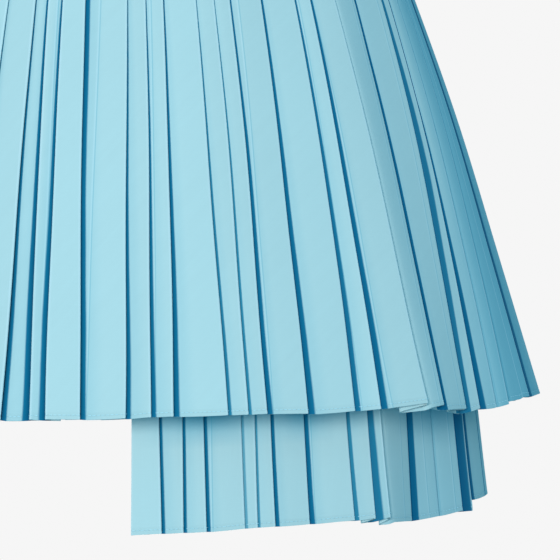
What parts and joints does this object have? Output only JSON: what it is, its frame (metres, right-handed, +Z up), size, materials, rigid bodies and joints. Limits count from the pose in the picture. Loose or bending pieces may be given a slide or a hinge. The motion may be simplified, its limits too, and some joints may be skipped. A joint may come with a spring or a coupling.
{
  "type": "pleated mini skirt",
  "caption": "Worn, hollow mini skirt of plain pleated cloth: a full flared upper tier and a longer under-tier round one half, with a plain waistband and a side zip.",
  "frame": {"origin": "centre of the waistband, half way up it, where the wearer's waist holds the skirt", "axes": "+Z up, +X to the viewer's right as the front is seen, the front faces -Y"},
  "size_m": [0.5382, 0.3878, 0.4833],
  "materials": {
    "cloth": "light aqua plain-woven cloth, pressed into pleats, matt",
    "zip_tape": "woven tape a little darker than the cloth",
    "zip_metal": "lacquered in the colour of the cloth"
  },
  "bodies": {
    "skirt": {"waistband": "cloth", "upper_front": "cloth", "upper_back": "cloth", "lower_front": "cloth", "lower_back": "cloth", "zip_tape": "zip_tape", "zip_slider": "zip_metal"},
    "zip_pull": {"zip_pull": "zip_metal"}
  },
  "joints": [
    {"name": "pull_swing", "type": "hinge", "parent": "skirt", "child": "zip_pull", "pos_m": [-0.13167, 0, 0.0085], "axis": [0, 1, 0], "range_deg": [0, 165]}
  ]
}
